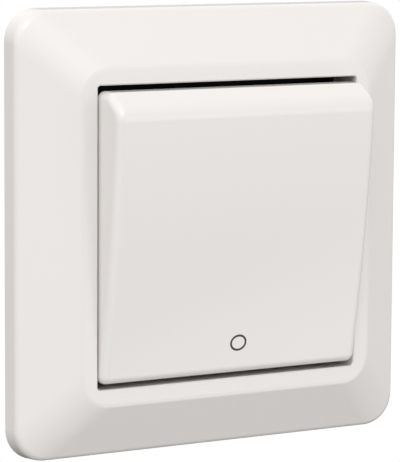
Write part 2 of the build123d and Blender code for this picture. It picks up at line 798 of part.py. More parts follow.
with BuildPart() as release_lever_left:
    add(release_lever_right.part.mirror(Plane.YZ))
release_lever_left.part.label = "release_lever_left"
export_step(release_lever_left.part, "parts/release_lever_left.step")


def coil(rear_depth, front_depth, coil_r, wire_r, turns):
    """Coil spring about the plunger's axis between two depths, of short straight runs of six-sided wire."""
    rear = rear_depth - wire_r - spring_clearance
    climb = rear - front_depth - wire_r - spring_clearance
    steps = turns * coil_steps
    points = []
    for step in range(steps + 1):
        angle = 2 * math.pi * step / coil_steps
        points.append((coil_r * math.cos(angle), rear - climb * step / steps, plunger_z + coil_r * math.sin(angle)))
    with BuildPart() as spring:
        with BuildLine() as path:
            Polyline(*points)
        with BuildSketch(Plane(origin=path.line @ 0, z_dir=path.line % 0)):
            RegularPolygon(wire_r, wire_sides)
        sweep(path=path.line, transition=Transition.RIGHT)
    return spring.part


# Return spring: under the plunger's tail
with BuildPart() as return_spring:
    add(coil(base_floor_depth, plunger_tail_depth, return_coil_r, return_wire_r, return_turns))
return_spring.part.label = "return_spring"
export_step(return_spring.part, "parts/return_spring.step")

# Contact spring: between the front of the plunger's window and the bridge
with BuildPart() as contact_spring:
    add(coil(bridge_front_depth, window_front_depth, contact_coil_r, contact_wire_r, contact_turns))
contact_spring.part.label = "contact_spring"
export_step(contact_spring.part, "parts/contact_spring.step")
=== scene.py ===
"""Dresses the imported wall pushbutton: finishes for its mouldings and metal, the printed ring, the springs and
the fine screws, and the studio that it stands in.

Lengths are metres in the part's own frame: the wall is the plane y = 0, the room lies on -Y and +Z is up.
"""

import json
import logging
import math
from dataclasses import dataclass, field
from enum import Enum

import bmesh
import bpy
from mathutils import Matrix, Vector

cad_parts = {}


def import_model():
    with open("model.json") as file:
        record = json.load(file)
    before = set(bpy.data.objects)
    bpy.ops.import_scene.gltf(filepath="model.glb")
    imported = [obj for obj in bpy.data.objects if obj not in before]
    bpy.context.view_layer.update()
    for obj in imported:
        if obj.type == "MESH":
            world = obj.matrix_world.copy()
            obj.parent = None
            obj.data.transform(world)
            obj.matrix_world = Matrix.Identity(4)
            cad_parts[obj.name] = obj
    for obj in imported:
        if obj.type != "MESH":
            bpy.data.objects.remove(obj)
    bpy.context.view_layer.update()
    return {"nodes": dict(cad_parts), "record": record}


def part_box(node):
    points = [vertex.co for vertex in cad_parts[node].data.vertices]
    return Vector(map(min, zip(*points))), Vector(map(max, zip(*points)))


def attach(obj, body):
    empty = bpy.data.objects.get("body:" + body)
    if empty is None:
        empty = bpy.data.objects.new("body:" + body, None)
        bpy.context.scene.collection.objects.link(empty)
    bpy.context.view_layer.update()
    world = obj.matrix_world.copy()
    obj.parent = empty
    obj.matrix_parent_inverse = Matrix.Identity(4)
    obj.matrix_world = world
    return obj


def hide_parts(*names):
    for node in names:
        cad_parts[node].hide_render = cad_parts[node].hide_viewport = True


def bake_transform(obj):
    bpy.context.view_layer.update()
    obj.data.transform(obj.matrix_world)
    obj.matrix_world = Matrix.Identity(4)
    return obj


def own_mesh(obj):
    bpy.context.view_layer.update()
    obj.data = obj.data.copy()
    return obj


LOG = logging.getLogger("pushbutton")
MM = 0.001
WELD = 0.001 * MM  # points nearer to each other than this are one point
IMAGE_WIDTH, IMAGE_HEIGHT = 400, 462
WHITE = (1.0, 1.0, 1.0, 1.0)

Colour = tuple[float, float, float]
Point = tuple[float, float, float]
Materials = dict[str, bpy.types.Material]


def srgb(red: float, green: float, blue: float) -> Colour:
    """Turns a display colour into a linear one.

    Args:
        red: red, from 0 to 255.
        green: green, from 0 to 255.
        blue: blue, from 0 to 255.

    Returns:
        The linear colour, from 0 to 1.
    """

    def linear(value: float) -> float:
        """Linear share of one channel."""
        share = value / 255.0
        return share / 12.92 if share <= 0.04045 else ((share + 0.055) / 1.055) ** 2.4

    return linear(red), linear(green), linear(blue)


class Socket:
    """A shader output that Python's operators work on, adding the Math nodes that they stand for."""

    def __init__(self, shader: "ShaderTree", output: bpy.types.NodeSocket) -> None:
        """Wraps an output of a node of one shader."""
        self.shader = shader
        self.output = output

    def __add__(self, other: "Socket | float") -> "Socket":
        """This plus another value."""
        return self.shader.maths("ADD", self, other)

    def __radd__(self, other: float) -> "Socket":
        """A number plus this."""
        return self.shader.maths("ADD", other, self)

    def __sub__(self, other: "Socket | float") -> "Socket":
        """This less another value."""
        return self.shader.maths("SUBTRACT", self, other)

    def __rsub__(self, other: float) -> "Socket":
        """A number less this."""
        return self.shader.maths("SUBTRACT", other, self)

    def __mul__(self, other: "Socket | float") -> "Socket":
        """This times another value."""
        return self.shader.maths("MULTIPLY", self, other)

    def __rmul__(self, other: float) -> "Socket":
        """A number times this."""
        return self.shader.maths("MULTIPLY", other, self)


def add_node(
    tree: bpy.types.NodeTree, kind: str, settings: dict | None, values: dict[str, object]
) -> bpy.types.Node:
    """Adds a node to a tree.

    Args:
        tree: the tree that the node goes into.
        kind: the node's type.
        settings: attributes of the node, set before its sockets.
        values: input name, with underscores for blanks, or "i" and a number, to a value or an output.

    Returns:
        The node.
    """
    made = tree.nodes.new(kind)
    for key, value in (settings or {}).items():
        setattr(made, key, value)
    for key, value in values.items():
        name = int(key[1:]) if key[0] == "i" and key[1:].isdigit() else key.replace("_", " ")
        source = value.output if isinstance(value, Socket) else value
        if isinstance(source, bpy.types.NodeSocket):
            tree.links.new(source, made.inputs[name])
        else:
            made.inputs[name].default_value = source
    return made


class ShaderTree:
    """A shader's node tree, with a method that makes nodes and a few shorthands for it."""

    def __init__(self, tree: bpy.types.NodeTree) -> None:
        """Takes the tree that the nodes go into."""
        self.tree = tree

    def node(self, kind: str, settings: dict | None = None, **values: object) -> dict[str, Socket]:
        """Makes one node, as add_node does, and returns its outputs by name."""
        made = add_node(self.tree, kind, settings, values)
        return {output.name: Socket(self, output) for output in made.outputs if output.enabled}

    def maths(self, operation: str, *values: Socket | float) -> Socket:
        """Result of one Math node."""
        inputs = {f"i{index}": value for index, value in enumerate(values)}
        return self.node("ShaderNodeMath", {"operation": operation}, **inputs)["Value"]

    def smooth(self, value: Socket, low: float, high: float) -> Socket:
        """Smooth step of a value.

        Args:
            value: the value.
            low: the value up to which the step is 0.
            high: the value from which the step is 1.

        Returns:
            The step, from 0 to 1.
        """
        settings = {"interpolation_type": "SMOOTHSTEP", "data_type": "FLOAT"}
        sockets = {"Value": value, "From_Min": low, "From_Max": high}
        return self.node("ShaderNodeMapRange", settings, **sockets)["Result"]

    def along(self, direction: Socket, axis: Point) -> Socket:
        """Part of a direction that lies along an axis."""
        settings = {"operation": "DOT_PRODUCT"}
        return self.node("ShaderNodeVectorMath", settings, i0=direction, i1=axis)["Value"]

    def close(self, share: Socket, first: Socket, second: Socket, output: str) -> None:
        """Ends the tree with a mix of two shaders.

        Args:
            share: share of the second shader.
            first: the shader that shows at 0.
            second: the shader that shows at 1.
            output: the name of the tree's output node.
        """
        mixed = self.node("ShaderNodeMixShader", i0=share, i1=first, i2=second)["Shader"]
        self.tree.links.new(mixed.output, self.tree.nodes[output].inputs["Surface"])


@dataclass(frozen=True)
class Noise:
    """Cloudy pattern: its cycles a metre, the octaves on top of them and how strong those are."""

    scale: float
    detail: float = 2.0
    roughness: float = 0.5


class Shader(ShaderTree):
    """Node tree of one material around a Principled surface."""

    def __init__(self, name: str) -> None:
        """Starts a material with a bare Principled surface.

        Args:
            name: the material's name.
        """
        self.material = bpy.data.materials.new(name)
        self.material.use_nodes = True
        super().__init__(self.material.node_tree)
        self.surface = self.tree.nodes["Principled BSDF"]
        self.place = self.node("ShaderNodeTexCoord")["Object"]

    def noise(self, noise: Noise, vector: Socket | None = None) -> Socket:
        """Noise from 0 to 1, on the object's own coordinates unless others are given."""
        sockets = {"Scale": noise.scale, "Detail": noise.detail, "Roughness": noise.roughness}
        return self.node("ShaderNodeTexNoise", Vector=vector or self.place, **sockets)["Fac"]

    def stretched(self, scale: Point) -> Socket:
        """The object's coordinates scaled along each axis."""
        return self.node("ShaderNodeMapping", Vector=self.place, Scale=scale)["Vector"]

    def mix(self, share: Socket, first: Colour, second: Colour) -> Socket:
        """Colour between two others, at a share of the second."""
        sockets = {"i0": share, "i6": (*first, 1.0), "i7": (*second, 1.0)}
        return self.node("ShaderNodeMix", {"data_type": "RGBA"}, **sockets)["Result"]

    def feed(self, name: str, value: Socket | float) -> None:
        """Gives the surface's input a value or a link.

        Args:
            name: the input's name.
            value: the number or the output for it.
        """
        socket = self.surface.inputs[name]
        if isinstance(value, Socket):
            self.tree.links.new(value.output, socket)
        else:
            socket.default_value = value

    def bump(self, height: Socket, depth: float, strength: float) -> None:
        """Feeds the surface's normal with a relief of a depth in metres at full white."""
        sockets = {"Height": height, "Distance": depth, "Strength": strength}
        self.feed("Normal", self.node("ShaderNodeBump", **sockets)["Normal"])


@dataclass(frozen=True)
class Relief:
    """Fine relief: its noise, depth in metres and strength, and the pits a metre where it has them.

    Where there are pits, noise_share is how much of the noise lies over them.
    """

    noise: Noise
    depth: float
    strength: float
    pits: float | None = None
    noise_share: float = 0.5


class Grain(Enum):
    """The surface that a tool leaves on a moulding."""

    POLISHED = Relief(Noise(55.0, 1.0), 12e-6, 0.6)
    FINE = Relief(Noise(5200.0), 12e-6, 0.7)
    SPARK = Relief(Noise(5200.0), 40e-6, 0.8, pits=2600.0)


@dataclass(frozen=True)
class Moulding:
    """Injection moulded plastic: a colour, the gloss of its tool and the faint waves of its flow."""

    name: str
    colour: Colour
    grain: Grain
    roughness: float
    tint_change: float = 0.015
    flow: Noise = Noise(26.0, 3.0)
    smudges: Noise = Noise(70.0, 4.0, 0.6)
    smudge_gloss: float = 0.25
    refraction: float = 1.5

    def material(self) -> bpy.types.Material:
        """Builds the plastic's material.

        Returns:
            The material.
        """
        shader = Shader(self.name)
        darker = tuple(channel * (1.0 - 2.0 * self.tint_change) for channel in self.colour)
        shader.feed("Base Color", shader.mix(shader.noise(self.flow), self.colour, darker))
        smudge = (shader.noise(self.smudges) - 0.5) * (self.smudge_gloss * self.roughness)
        shader.feed("Roughness", self.roughness + smudge)
        shader.feed("IOR", self.refraction)
        relief = self.grain.value
        height = shader.noise(relief.noise)
        if relief.pits:
            pits = shader.node("ShaderNodeTexVoronoi", Vector=shader.place, Scale=relief.pits)["Distance"]
            height = pits + height * relief.noise_share
        shader.bump(height, relief.depth, relief.strength)
        return shader.material


@dataclass(frozen=True)
class Plating:
    """Rolled or drawn metal: a colour, its rolling lines and the clouded bloom of its plating."""

    name: str
    colour: Colour
    bloom: Colour
    roughness: float
    line_axis: Point = (1.0, 1.0, 30.0)
    lines: Noise = Noise(160.0, 3.0, 0.6)
    line_gloss: float = 0.16
    line_depth: float = 6e-6
    line_strength: float = 0.5
    clouds: Noise = Noise(140.0, 4.0, 0.6)
    cloud_edges: tuple[float, float] = (0.35, 0.75)
    cloud_gloss: float = 0.06
    bloom_share: float = 0.35

    def material(self) -> bpy.types.Material:
        """Builds the metal's material.

        Returns:
            The material.
        """
        shader = Shader(self.name)
        lines = shader.noise(self.lines, shader.stretched(self.line_axis))
        cloud = shader.smooth(shader.noise(self.clouds), *self.cloud_edges)
        shader.feed("Base Color", shader.mix(cloud * self.bloom_share, self.colour, self.bloom))
        shader.feed("Metallic", 1.0)
        shader.feed("Roughness", self.roughness + (lines - 0.5) * self.line_gloss + cloud * self.cloud_gloss)
        shader.bump(lines, self.line_depth, self.line_strength)
        return shader.material


@dataclass(frozen=True)
class Ink:
    """Pad print: a matt colour with a slightly uneven tint and gloss."""

    name: str
    colour: Colour
    roughness: float = 0.45
    grain: Noise = Noise(4000.0)
    lightest: float = 1.25
    gloss_change: float = 0.1

    def material(self) -> bpy.types.Material:
        """Builds the ink's material.

        Returns:
            The material.
        """
        shader = Shader(self.name)
        grain = shader.noise(self.grain)
        lighter = tuple(channel * self.lightest for channel in self.colour)
        shader.feed("Base Color", shader.mix(grain, self.colour, lighter))
        shader.feed("Roughness", self.roughness + (grain - 0.5) * self.gloss_change)
        return shader.material


@dataclass(frozen=True)
class Palette:
    """Every finish of the device, by the record's material slot."""

    finishes: dict[str, Moulding | Plating] = field(
        default_factory=lambda: {
            "gloss_white": Moulding("gloss white moulding", srgb(227, 223, 220), Grain.POLISHED, 0.13, 0.004),
            "pale_grey": Moulding("pale grey moulding", srgb(198, 198, 195), Grain.FINE, 0.42),
            "dark_grey": Moulding("dark grey moulding", srgb(62, 63, 66), Grain.SPARK, 0.5, 0.04),
            "orange_nylon": Moulding("orange nylon", srgb(206, 94, 30), Grain.FINE, 0.38, 0.03),
            "black_steel": Plating("black steel", srgb(34, 35, 37), srgb(26, 28, 33), 0.42),
            "zinc_steel": Plating("zinc plated steel", srgb(196, 199, 203), srgb(172, 180, 190), 0.3),
            "spring_steel": Plating("spring steel", srgb(168, 168, 170), srgb(150, 148, 142), 0.26),
            "brass_strip": Plating("brass strip", srgb(206, 172, 98), srgb(184, 140, 70), 0.28),
            "copper": Plating("copper strip", srgb(214, 148, 112), srgb(170, 104, 72), 0.28),
            "silver": Plating("silver alloy", srgb(222, 221, 216), srgb(196, 192, 182), 0.24),
        }
    )

    def materials(self) -> Materials:
        """Builds one material for each slot."""
        return {slot: finish.material() for slot, finish in self.finishes.items()}


def link(name: str, mesh: bpy.types.Mesh) -> bpy.types.Object:
    """Puts a mesh into the scene as an object at the origin.

    Args:
        name: the object's name.
        mesh: its mesh.

    Returns:
        The object.
    """
    piece = bpy.data.objects.new(name, mesh)
    bpy.context.scene.collection.objects.link(piece)
    return piece


def finished(work: bmesh.types.BMesh, name: str) -> bpy.types.Mesh:
    """Turns the mesh in work into a mesh of the file.

    Args:
        work: the mesh in work, which is freed.
        name: the new mesh's name.

    Returns:
        The new mesh.
    """
    mesh = bpy.data.meshes.new(name)
    work.to_mesh(mesh)
    work.free()
    return mesh


def band(work: bmesh.types.BMesh, first: list[bmesh.types.BMVert], second: list[bmesh.types.BMVert]) -> None:
    """Joins two closed rows of as many points each by a row of faces.

    Args:
        work: the mesh in work.
        first: points of one row.
        second: points of the other row.
    """
    for here in range(len(first)):
        after = (here + 1) % len(first)
        work.faces.new((first[here], first[after], second[after], second[here]))


def shade(mesh: bpy.types.Mesh, sharp_degrees: float) -> None:
    """Smooths a mesh's shading, apart from edges that turn by more than an angle."""
    mesh.shade_smooth()
    mesh.set_sharp_from_angle(angle=math.radians(sharp_degrees))


class Network:
    """A Geometry Nodes tree with named number inputs, which ends in Realize Instances and Set Material."""

    def __init__(self, name: str) -> None:
        """Starts an empty tree with a geometry input and output.

        Args:
            name: the tree's name.
        """
        self.tree = bpy.data.node_groups.new(name, "GeometryNodeTree")
        for way in ("INPUT", "OUTPUT"):
            self.tree.interface.new_socket("Geometry", in_out=way, socket_type="NodeSocketGeometry")
        self.entry = self.tree.nodes.new("NodeGroupInput")
        self.exit = self.tree.nodes.new("NodeGroupOutput")

    def size(self, name: str, value: float | int) -> bpy.types.NodeSocket:
        """Adds a named input for a size or a count.

        Args:
            name: the input's name.
            value: its default, a whole number for a count.

        Returns:
            The output to link from.
        """
        kind = "NodeSocketInt" if isinstance(value, int) else "NodeSocketFloat"
        made = self.tree.interface.new_socket(name, in_out="INPUT", socket_type=kind)
        made.default_value = value
        return self.entry.outputs[name]

    def node(self, kind: str, settings: dict | None = None, **values: object) -> bpy.types.Node:
        """Makes one node, as add_node does."""
        return add_node(self.tree, kind, settings, values)

    def close(self, geometry: bpy.types.NodeSocket, material: bpy.types.Material) -> None:
        """Ends the tree: real meshes instead of instances, and one finish.

        Args:
            geometry: the output that holds the tree's result.
            material: the finish.
        """
        real = self.node("GeometryNodeRealizeInstances", Geometry=geometry).outputs["Geometry"]
        dressed = self.node("GeometryNodeSetMaterial", Geometry=real, Material=material)
        self.tree.links.new(dressed.outputs["Geometry"], self.exit.inputs["Geometry"])

    def grow(self, carrier: bpy.types.Object, sizes: dict[str, float | int], name: str) -> bpy.types.Object:
        """Runs the tree on a carrier and keeps the result as a plain mesh.

        Args:
            carrier: the object that the tree starts from, which is removed.
            sizes: values of the tree's named inputs.
            name: the name of the finished piece.

        Returns:
            The finished piece, at the origin.
        """
        modifier = carrier.modifiers.new("grown", "NODES")
        modifier.node_group = self.tree
        for item in self.tree.interface.items_tree:
            if item.item_type == "SOCKET" and item.in_out == "INPUT" and item.name in sizes:
                modifier[item.identifier] = sizes[item.name]
        bpy.context.view_layer.update()
        evaluated = carrier.evaluated_get(bpy.context.evaluated_depsgraph_get())
        mesh = bpy.data.meshes.new_from_object(evaluated)
        mesh.name = name
        start = carrier.data
        bpy.data.objects.remove(carrier)
        bpy.data.meshes.remove(start)
        return link(name, mesh)


@dataclass
class CoilSpring:
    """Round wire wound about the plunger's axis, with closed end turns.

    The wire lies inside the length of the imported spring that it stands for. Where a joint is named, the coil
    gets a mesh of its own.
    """

    name: str
    node: str
    body: str
    slot: str
    coil_radius: float
    wire_radius: float
    turns: int
    wire_sides: int = 12
    turn_steps: int = 40
    sharp_degrees: float = 40.0
    joint: str | None = None
    travel: float = 0.0

    def line(self) -> list[Point]:
        """Finds the wire's middle line.

        Returns:
            Points from the rear end to the front end.
        """
        low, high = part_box(self.node)
        middle_x, middle_z = (low.x + high.x) / 2, (low.z + high.z) / 2
        rear, front = high.y - self.wire_radius, low.y + self.wire_radius
        points = []
        for step in range(self.turns * self.turn_steps + 1):
            turn = step / self.turn_steps
            angle = 2 * math.pi * turn
            x = middle_x + self.coil_radius * math.cos(angle)
            z = middle_z + self.coil_radius * math.sin(angle)
            points.append((x, rear + (front - rear) * self._rise(turn, rear - front), z))
        return points

    def _rise(self, turn: float, climb: float) -> float:
        """Share of the climb at a turn: slow over the end turns and even between them.

        Args:
            turn: turns wound so far, counted from the rear end.
            climb: length from the wire's middle at one end to that at the other.

        Returns:
            The share, from 0 to 1.
        """
        # An end turn climbs by the wire's thickness, but by no more than half of the average turn.
        closed = min(2.0 * self.wire_radius / climb, 0.5 / self.turns)
        last = self.turns - 1.0
        if turn < 1.0:
            return closed * turn
        if turn > last:
            return 1.0 - closed * (self.turns - turn)
        return closed + (1.0 - 2.0 * closed) * (turn - 1.0) / (last - 1.0)

    def build(self, palette: Materials) -> bpy.types.Object:
        """Winds the wire and lets it stand for its packed spring.

        Args:
            palette: materials by slot.

        Returns:
            The spring.
        """
        mesh = bpy.data.meshes.new(f"{self.name}_line")
        points = self.line()
        mesh.from_pydata(points, [(index, index + 1) for index in range(len(points) - 1)], [])
        network = Network(f"{self.name} winding")
        radius = network.size("Wire Radius", self.wire_radius)
        sides = network.size("Wire Sides", self.wire_sides)
        curve = network.node("GeometryNodeMeshToCurve", Mesh=network.entry.outputs["Geometry"])
        section = network.node("GeometryNodeCurvePrimitiveCircle", Resolution=sides, Radius=radius)
        wire = network.node(
            "GeometryNodeCurveToMesh",
            Curve=curve.outputs["Curve"],
            Profile_Curve=section.outputs["Curve"],
            Fill_Caps=True,
        )
        smooth = network.node("GeometryNodeSetShadeSmooth", i0=wire.outputs["Mesh"])
        network.close(smooth.outputs[0], palette[self.slot])
        sizes = {"Wire Radius": self.wire_radius, "Wire Sides": self.wire_sides}
        piece = network.grow(link(f"{self.name}_line", mesh), sizes, self.name)
        shade(piece.data, self.sharp_degrees)
        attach(piece, self.body)
        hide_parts(self.node)
        if self.joint:
            low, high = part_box(self.node)
            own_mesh(piece)
        return piece


@dataclass
class ClampLeaf:
    """Leaf spring whose tongues bend when the release lever beside it is pushed in.

    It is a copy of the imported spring, cut across so that it can bend between its folded end and the lever's
    nose.
    """

    side: str
    slot: str = "spring_steel"
    cuts: int = 14
    sharp_degrees: float = 35.0

    def build(self, palette: Materials) -> bpy.types.Object:
        """Builds the leaf from its packed form, cut across between its folded end and the lever's nose.

        Args:
            palette: materials by slot.

        Returns:
            The leaf.
        """
        node = f"clamp_spring_{self.side}"
        low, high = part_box(node)
        lever_low, lever_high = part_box(f"release_lever_{self.side}")
        nose = (lever_low.x + lever_high.x) / 2
        fold = high.x if abs(high.x - nose) > abs(low.x - nose) else low.x
        work = bmesh.new()
        work.from_mesh(bpy.data.objects[node].data)
        bmesh.ops.remove_doubles(work, verts=work.verts, dist=WELD)
        for cut in range(1, self.cuts):
            place = (fold + (nose - fold) * cut / self.cuts, 0.0, 0.0)
            parts = [*work.verts, *work.edges, *work.faces]
            bmesh.ops.bisect_plane(work, geom=parts, plane_co=place, plane_no=(1.0, 0.0, 0.0))
        mesh = finished(work, f"clamp_leaf_{self.side}")
        mesh.materials.append(palette[self.slot])
        piece = link(mesh.name, mesh)
        shade(mesh, self.sharp_degrees)
        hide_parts(node)
        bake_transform(piece)
        return piece


@dataclass
class CoverScrews:
    """Thread forming screws of the mechanism's cover: a rounded slotted head on a threaded shank.

    The thread's flanks rise thread_slope times its height in a pitch. Over the last fade_pitches of the shank
    the thread fades and the shank tapers to tip_share of its radius.
    """

    name: str = "cover_screw_set"
    node: str = "cover_screws"
    body: str = "switch"
    slot: str = "zinc_steel"
    pitch_x: float = 31.0 * MM
    pitch_z: float = 31.0 * MM
    head_radius: float = 2.0 * MM
    head_height: float = 1.2 * MM
    head_round: float = 0.35 * MM
    core_radius: float = 0.82 * MM
    thread_radius: float = 1.1 * MM
    thread_pitch: float = 0.8 * MM
    thread_steps: int = 8
    thread_slope: float = 4.0
    fade_pitches: float = 1.2
    tip_share: float = 0.35
    slot_width: float = 0.5 * MM
    slot_depth: float = 0.6 * MM
    slot_turn: float = math.radians(30)
    sides: int = 28
    bevel_steps: int = 4
    sharp_degrees: float = 35.0

    def _head(self, work: bmesh.types.BMesh, seat: float) -> None:
        """Adds the head: a turned outline with a rounded rim, open at the seat where the shank joins it.

        Args:
            work: the mesh in work.
            seat: y of the face that the head sits on.
        """
        top = seat - self.head_height
        rings = [(self.core_radius, seat), (self.head_radius, seat)]
        for step in range(self.bevel_steps + 1):
            angle = math.pi / 2 * step / self.bevel_steps
            radius = self.head_radius - self.head_round * (1 - math.cos(angle))
            rings.append((radius, top + self.head_round * (1 - math.sin(angle))))
        loops = []
        for radius, rise in rings:
            loop = []
            for side in range(self.sides):
                angle = 2 * math.pi * side / self.sides
                loop.append(work.verts.new((radius * math.cos(angle), rise, radius * math.sin(angle))))
            loops.append(loop)
        for first, second in zip(loops, loops[1:]):
            band(work, first, second)
        work.faces.new(loops[-1])

    def _shank(self, work: bmesh.types.BMesh, seat: float, length: float) -> None:
        """Adds the threaded shank: rings whose radius follows the thread's helix, and a cone at the tip.

        Args:
            work: the mesh in work.
            seat: y of the face that the head sits on.
            length: length of the shank.
        """
        count = int(length / self.thread_pitch * self.thread_steps)
        loops = []
        for step in range(count + 1):
            depth = length * step / count
            fade = min(1.0, (length - depth) / (self.fade_pitches * self.thread_pitch))
            grown = min(1.0, depth / self.thread_pitch) * fade
            taper = self.tip_share + (1.0 - self.tip_share) * fade
            loop = []
            for side in range(self.sides):
                share = side / self.sides
                phase = (depth / self.thread_pitch - share) % 1.0
                crest = max(0.0, 1.0 - abs(phase - 0.5) * self.thread_slope) * grown
                radius = (self.core_radius + (self.thread_radius - self.core_radius) * crest) * taper
                angle = 2 * math.pi * share
                point = (radius * math.cos(angle), seat + depth, radius * math.sin(angle))
                loop.append(work.verts.new(point))
            loops.append(loop)
        for first, second in zip(loops, loops[1:]):
            for side in range(self.sides):
                after = (side + 1) % self.sides
                work.faces.new((first[side], second[side], second[after], first[after]))
        work.faces.new(list(reversed(loops[-1])))

    def _cut_slot(self, screw: bpy.types.Object, seat: float) -> bpy.types.Mesh:
        """Cuts the driving slot.

        Args:
            screw: the screw without its slot.
            seat: y of the face that the head sits on.

        Returns:
            The finished mesh.
        """
        work = bmesh.new()
        bmesh.ops.create_cube(work, size=1.0)
        # The cutter is longer than the head is wide, and half of its depth stands in front of the head.
        reach = Matrix.Diagonal((4 * self.head_radius, 2 * self.slot_depth, self.slot_width, 1.0))
        turn = Matrix.Rotation(self.slot_turn, 4, "Y")
        place = Matrix.Translation((0, seat - self.head_height, 0))
        bmesh.ops.transform(work, matrix=place @ turn @ reach, verts=work.verts)
        mesh = finished(work, "slot_cutter")
        cutter = link("slot_cutter", mesh)
        modifier = screw.modifiers.new("slot", "BOOLEAN")
        modifier.operation = "DIFFERENCE"
        modifier.solver = "EXACT"
        modifier.object = cutter
        bpy.context.view_layer.update()
        evaluated = screw.evaluated_get(bpy.context.evaluated_depsgraph_get())
        cut = bpy.data.meshes.new_from_object(evaluated)
        bpy.data.objects.remove(cutter)
        bpy.data.meshes.remove(mesh)
        return cut

    def _screw(self) -> bpy.types.Object:
        """Builds one screw on the y axis.

        Returns:
            The screw.
        """
        low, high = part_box(self.node)
        seat = low.y + self.head_height
        work = bmesh.new()
        self._head(work, seat)
        self._shank(work, seat, high.y - seat)
        bmesh.ops.remove_doubles(work, verts=work.verts, dist=WELD)
        bmesh.ops.recalc_face_normals(work, faces=work.faces)
        screw = link("cover_screw", finished(work, "cover_screw"))
        screw.data = self._cut_slot(screw, seat)
        screw.modifiers.clear()
        shade(screw.data, self.sharp_degrees)
        return screw

    def build(self, palette: Materials) -> bpy.types.Object:
        """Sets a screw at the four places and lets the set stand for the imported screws.

        Args:
            palette: materials by slot.

        Returns:
            The set of screws.
        """
        screw = self._screw()
        network = Network("screw places")
        across = network.size("Pitch X", self.pitch_x)
        upward = network.size("Pitch Z", self.pitch_z)
        grid = network.node("GeometryNodeMeshGrid", Size_X=across, Size_Y=upward, Vertices_X=2, Vertices_Y=2)
        upright = network.node(
            "GeometryNodeTransform", Geometry=grid.outputs["Mesh"], Rotation=(math.pi / 2, 0.0, 0.0)
        )
        source = network.node("GeometryNodeObjectInfo", {"transform_space": "ORIGINAL"}, Object=screw)
        places = network.node(
            "GeometryNodeInstanceOnPoints",
            Points=upright.outputs["Geometry"],
            Instance=source.outputs["Geometry"],
        )
        network.close(places.outputs["Instances"], palette[self.slot])
        carrier = link("screw_carrier", bpy.data.meshes.new("screw_carrier"))
        piece = network.grow(carrier, {"Pitch X": self.pitch_x, "Pitch Z": self.pitch_z}, self.name)
        spent = screw.data
        bpy.data.objects.remove(screw)
        bpy.data.meshes.remove(spent)
        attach(piece, self.body)
        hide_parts(self.node)
        return piece


@dataclass
class ButtonMark:
    """The ring printed low on the button's face, a thin closed band that follows the face."""

    name: str = "button_ring_mark"
    node: str = "button_cap"
    body: str = "button"
    centre_x: float = 0.8 * MM
    centre_z: float = -21.4 * MM
    half_width: float = 1.61 * MM
    half_height: float = 1.41 * MM
    line: float = 0.42 * MM
    film: float = 0.008 * MM
    sink: float = 0.02 * MM
    steps: int = 96
    probe_y: float = -0.1
    sharp_degrees: float = 30.0

    def _on_face(self, x: float, z: float) -> Vector:
        """Finds a point of the button's face, looking from well in front of it.

        Args:
            x: the point's x.
            z: the point's z.

        Returns:
            The point.

        Raises:
            ValueError: if the button isn't there.
        """
        cap = bpy.data.objects[self.node]
        hit, point, _, _ = cap.ray_cast(Vector((x, self.probe_y, z)), Vector((0.0, 1.0, 0.0)))
        if not hit:
            raise ValueError("the ring lies beside the button's face")
        return point

    def build(self, ink: bpy.types.Material) -> bpy.types.Object:
        """Builds the band and lets it ride on the button.

        Args:
            ink: the ring's material.

        Returns:
            The ring.
        """
        work = bmesh.new()
        section = ((-0.5, self.film), (0.5, self.film), (0.5, -self.sink), (-0.5, -self.sink))
        loops: list[list[bmesh.types.BMVert]] = [[] for _ in section]
        for step in range(self.steps):
            angle = 2 * math.pi * step / self.steps
            for loop, (side, lift) in zip(loops, section):
                x = self.centre_x + (self.half_width + side * self.line) * math.cos(angle)
                z = self.centre_z + (self.half_height + side * self.line) * math.sin(angle)
                point = self._on_face(x, z)
                loop.append(work.verts.new((point.x, point.y - lift, point.z)))
        for first, second in zip(loops, (*loops[1:], loops[0])):
            band(work, first, second)
        bmesh.ops.recalc_face_normals(work, faces=work.faces)
        mesh = finished(work, self.name)
        shade(mesh, self.sharp_degrees)
        mesh.materials.append(ink)
        piece = link(self.name, mesh)
        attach(piece, self.body)
        return piece


@dataclass
class PackedPieces:
    """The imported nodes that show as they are, each with the finish of its material slot."""

    record: dict
    nodes: dict[str, bpy.types.Object]

    def dress(self, palette: Materials) -> None:
        """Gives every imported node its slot's material.

        Args:
            palette: materials by slot.
        """
        slots = {row["node"]: row["material_slot"] for row in self.record["subparts"]}
        for name, piece in self.nodes.items():
            piece.data.materials.clear()
            piece.data.materials.append(palette[slots[name]])
            LOG.info("dressed %s as %s", name, slots[name])


